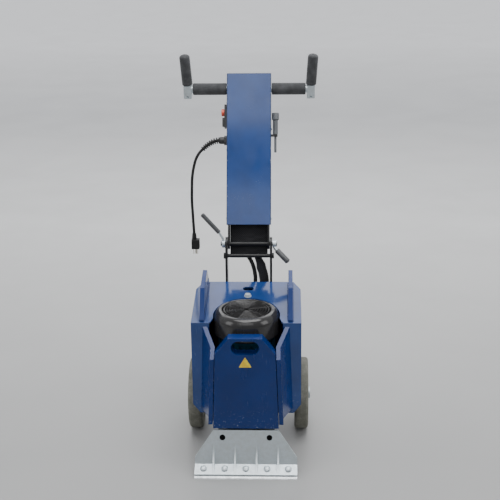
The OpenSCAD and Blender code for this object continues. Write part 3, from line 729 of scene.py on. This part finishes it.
class MakeConduits(bpy.types.Operator):
    """Makes the creased textile sleeve and the corrugated conduit that curve down past the place where the
    handle folds
    """

    bl_idname = "scraper.make_conduits"
    bl_label = "Sleeve and conduit"

    def execute(self, context):
        sizes = context.scene.scraper_sizes
        route = flowing(metres(SLEEVE_ROUTE, (0, AXLE_Y, 0)), 8)

        def creased(far, part, turn):
            r = (sizes.sleeve / 2 - 1.1 * MM) * (0.5 + 0.5 * min(1.0, far / 0.04))
            folds = math.sin(far / (5.5 * MM) + 1.4 * math.sin(turn + far * 40))
            return r + 0.9 * MM * folds * (0.55 + 0.45 * math.sin(turn * 2 + far * 55))

        sleeve = swept("cable_sleeve_braid", route, creased, 32)
        conduit_route = flowing(metres(CONDUIT_ROUTE, (0, AXLE_Y, 0)), 12)

        def ringed(far, part, turn):
            crest = 0.5 + 0.5 * math.cos(2 * math.pi * far / sizes.conduit_pitch)
            return sizes.conduit / 2 - 1.3 * MM * (1 - crest**0.6)

        conduit = swept("conduit_corrugated", conduit_route, ringed, 24)
        for item, name, ends in ((sleeve, "cable_sleeve", route), (conduit, "conduit", conduit_route)):
            give_finish(item, SLOTS[name])
            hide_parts(name)
            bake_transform(item)
        return {"FINISHED"}


class MakeBoot(bpy.types.Operator):
    """Makes the wrinkled fabric behind the clamp rods"""

    bl_idname = "scraper.make_boot"
    bl_label = "Cable boot"

    def execute(self, context):
        across, tall = 48, 50
        # Its ends along the column, half its width and its depth behind the column's front, in mm
        low, high, half_width, depth = -104, 24, 60, 36
        mesh = bmesh.new()
        unwrapped = mesh.loops.layers.uv.new("UVMap")
        skins = []
        for face in (0, 1):
            grid = []
            for j in range(tall + 1):
                s = low + (high - low) * j / tall
                row = []
                for i in range(across + 1):
                    x = -half_width + 2 * half_width * i / across
                    # The sheet is thin at its sides and full in the middle, with slanting creases
                    full = math.cos(math.pi * x / 122) ** 0.4
                    crease = math.sin(s / 5.2 + 0.03 * x + 1.6 * math.sin(x / 19)) * math.cos(x / 23 + s / 31)
                    crease += 0.5 * math.sin(s / 2.9 - x / 11)
                    half = 0.8 + 4.2 * full + 1.2 * crease * full
                    # The lower hem is gathered
                    half *= min(1.0, 0.2 + (s - low) / 34)
                    row.append(mesh.verts.new(on_column(depth + (half if face else -half), s, x)))
                grid.append(row)
            skins.append(grid)
        for face, grid in enumerate(skins):
            for j in range(tall):
                for i in range(across):
                    loop = (grid[j][i], grid[j][i + 1], grid[j + 1][i + 1], grid[j + 1][i])
                    made = mesh.faces.new(loop[::-1] if face else loop)
                    made.smooth = True
                    for corner in made.loops:
                        corner[unwrapped].uv = (corner.vert.co.x, corner.vert.co.z)
        near, far = skins
        rim = [(j, 0) for j in range(tall)] + [(tall, i) for i in range(across)]
        rim += [(j, across) for j in range(tall, 0, -1)] + [(0, i) for i in range(across, 0, -1)]
        for (a, b), (c, d) in zip(rim, rim[1:] + rim[:1]):
            mesh.faces.new((near[a][b], near[c][d], far[c][d], far[a][b]))
        bmesh.ops.recalc_face_normals(mesh, faces=mesh.faces)
        data = bpy.data.meshes.new("cable_boot_fabric")
        mesh.to_mesh(data)
        mesh.free()
        item = bpy.data.objects.new("cable_boot_fabric", data)
        context.scene.collection.objects.link(item)
        give_finish(item, "textile_sleeve")
        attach(item, "column")
        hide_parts("cable_boot")
        return {"FINISHED"}


class MakeLead(bpy.types.Operator):
    """Makes the short power lead with its ribbed strain relief"""

    bl_idname = "scraper.make_lead"
    bl_label = "Power lead"

    def execute(self, context):
        sizes = context.scene.scraper_sizes
        path = flowing(metres(CORD_ROUTE), 5)
        lead = swept("power_lead", path, lambda far, part, turn: sizes.cord / 2, 20)
        line = flowing(metres(RELIEF_ROUTE), 24)

        def ribbed(far, part, turn):
            full = (10.4 - 2.2 * part) * MM
            in_rib = (far / (7.6 * MM)) % 1.0 < 0.42 or part < 0.06
            return full if in_rib else (4.8 - 0.2 * part) * MM

        relief = swept("strain_relief_ribbed", line, ribbed, 28)
        for item, name in ((lead, "power_cord"), (relief, "strain_relief")):
            give_finish(item, "cord_rubber")
            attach(item, "column")
            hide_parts(name)
        return {"FINISHED"}


class MakeLabel(bpy.types.Operator):
    """Puts the plain yellow triangle on the front weight"""

    bl_idname = "scraper.make_label"
    bl_label = "Warning triangle"

    def execute(self, context):
        side = context.scene.scraper_sizes.triangle
        bpy.ops.object.select_all(action="DESELECT")
        face_y = WEIGHT_FACE_Y * MM
        bpy.ops.mesh.primitive_cylinder_add(
            vertices=3, radius=side / math.sqrt(3), depth=0.5 * MM, location=(0, 0, 0)
        )
        item = context.object
        item.name = "warning_triangle"
        turn = Matrix.Rotation(math.pi / 2, 4, "X")
        item.data.transform(Matrix.Translation((0, face_y - 0.3 * MM, 343 * MM)) @ turn)
        bevel = item.modifiers.new("round corners", "BEVEL")
        bevel.width = 3 * MM
        bevel.segments = 4
        bevel.limit_method = "ANGLE"
        bevel.angle_limit = math.radians(100)
        only(item)
        bpy.ops.object.modifier_apply(modifier=bevel.name)
        give_finish(item, "warning_yellow")
        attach(item, "base")
        return {"FINISHED"}


def area_light(name, place, aim, size, power, tone="#FFFFFF"):
    data = bpy.data.lights.new(name, "AREA")
    data.shape = "RECTANGLE"
    data.size, data.size_y = size
    data.energy = power
    data.color = linear(tone)[:3]
    lamp = bpy.data.objects.new(name, data)
    lamp.location = place
    lamp.rotation_euler = (Vector(aim) - Vector(place)).to_track_quat("-Z", "Y").to_euler()
    bpy.context.scene.collection.objects.link(lamp)


class MakeStage(bpy.types.Operator):
    """Sets the camera, the pale floor and the soft lights"""

    bl_idname = "scraper.make_stage"
    bl_label = "Stage"

    def execute(self, context):
        data = bpy.data.cameras.new("camera")
        data.lens = 72
        data.sensor_width = 36
        camera = bpy.data.objects.new("camera", data)
        camera.location = (0.119, -2.9169, 1.583)
        turn = Matrix.Rotation(math.radians(2.18), 3, "Z") @ Matrix.Rotation(math.radians(71.45), 3, "X")
        camera.rotation_euler = (turn @ Matrix.Rotation(math.radians(-0.65), 3, "Z")).to_euler()
        context.scene.collection.objects.link(camera)
        context.scene.camera = camera
        bpy.ops.object.select_all(action="DESELECT")
        bpy.ops.mesh.primitive_plane_add(size=90, location=(0, 0, CAD_BOX[0][2]))
        floor = context.object
        floor.name = "studio_floor"
        material, tree, shader, where = new_material("sealed pale concrete", IOR=1.45)
        cloud = noise(tree, where, 400, 4.0)
        base = linear(context.scene.scraper_colours.floor)
        shade = [c * 0.93 for c in base[:3]] + [1.0]
        near = [c * 0.45 for c in base[:3]] + [1.0]
        pale = mixed(tree, between(tree, cloud, 0.35, 0.65), base, shade)
        # Painted light and shade: the floor is painted darker in front of the machine, down to 0.45 of its
        # colour, and paler behind it, as the room's windows light the floor behind the machine more than the
        # floor in front
        away = add(tree, "ShaderNodeSeparateXYZ", {0: where}).outputs["Y"]
        lit = mixed(tree, between(tree, away, -0.2, 2.2), near, pale)
        tree.links.new(lit, shader.inputs["Base Color"])
        # Painted light: the floor glows from 1 m behind the machine, more the further back, up to strength
        # 0.48, though it is no lamp
        shader.inputs["Emission Color"].default_value = linear("#F4F5F8")
        tree.links.new(between(tree, away, 1.0, 10.0, 0.0, 0.48), shader.inputs["Emission Strength"])
        tree.links.new(between(tree, cloud, 0.3, 0.7, 0.3, 0.4), shader.inputs["Roughness"])
        floor.data.materials.append(material)
        area_light("overhead softbox", (0.2, -0.3, 3.4), (0, 0, 0.4), (2.6, 2.2), 90)
        area_light("back panel", (0, 3.4, 2.9), (0, 0, 0.6), (6.0, 2.4), 62)
        area_light("front panel, high", (0, -3.2, 3.3), (0, 0, 0.9), (3.4, 0.8), 20)
        area_light("front panel, low", (0, -3.3, 2.2), (0, 0, 0.8), (3.0, 0.4), 6)
        area_light("left fill", (-3.0, -1.6, 1.8), (0, 0, 0.5), (1.4, 2.0), 22)
        area_light("right fill", (3.0, -1.2, 1.8), (0, 0, 0.5), (1.4, 2.0), 22)
        # The room is brighter behind the machine than in front of it
        world = bpy.data.worlds.new("studio")
        world.use_nodes = True
        room = world.node_tree
        way = add(room, "ShaderNodeSeparateXYZ", {0: add(room, "ShaderNodeTexCoord").outputs["Generated"]})
        tone = between(room, way.outputs["Y"], -0.5, 0.7, 0.34, 0.86)
        shell = room.nodes["Background"]
        shell.inputs["Color"].default_value = linear("#E4E7EC")
        room.links.new(tone, shell.inputs["Strength"])
        context.scene.world = world
        return {"FINISHED"}


STEPS = (
    MakeStage, DressBody, DressMoving, DressColumn, MakeFanCover, MakeHoleShade, MakeWelds, MakeConduits,
    MakeBoot, MakeLead, MakeLabel,
)


class ScraperPanel(bpy.types.Panel):
    """Lists the sizes, the colours and the steps"""

    bl_idname = "VIEW3D_PT_scraper"
    bl_label = "Floor scraper"
    bl_space_type = "VIEW_3D"
    bl_region_type = "UI"
    bl_category = "Scraper"

    def draw(self, context):
        for group in (context.scene.scraper_sizes, context.scene.scraper_colours):
            box = self.layout.box()
            for key in group.bl_rna.properties.keys():
                if key not in ("rna_type", "name"):
                    box.prop(group, key)
        for step in STEPS:
            self.layout.operator(step.bl_idname)


CLASSES = (ScraperSizes, ScraperColours, *STEPS, ScraperPanel)


def register():
    for item in CLASSES:
        bpy.utils.register_class(item)
    bpy.types.Scene.scraper_sizes = bpy.props.PointerProperty(type=ScraperSizes)
    bpy.types.Scene.scraper_colours = bpy.props.PointerProperty(type=ScraperColours)


def unregister():
    del bpy.types.Scene.scraper_colours
    del bpy.types.Scene.scraper_sizes
    for item in reversed(CLASSES):
        bpy.utils.unregister_class(item)


def main():
    register()
    make_finishes()
    bpy.ops.scraper.make_stage()
    bpy.ops.scraper.dress_body()
    bpy.ops.scraper.dress_moving()
    bpy.ops.scraper.dress_column()
    bpy.ops.scraper.make_fan_cover()
    bpy.ops.scraper.make_caps()
    bpy.ops.scraper.make_welds()
    bpy.ops.scraper.make_conduits()
    bpy.ops.scraper.make_boot()
    bpy.ops.scraper.make_lead()
    bpy.ops.scraper.make_label()


if __name__ == "__main__":
    main()
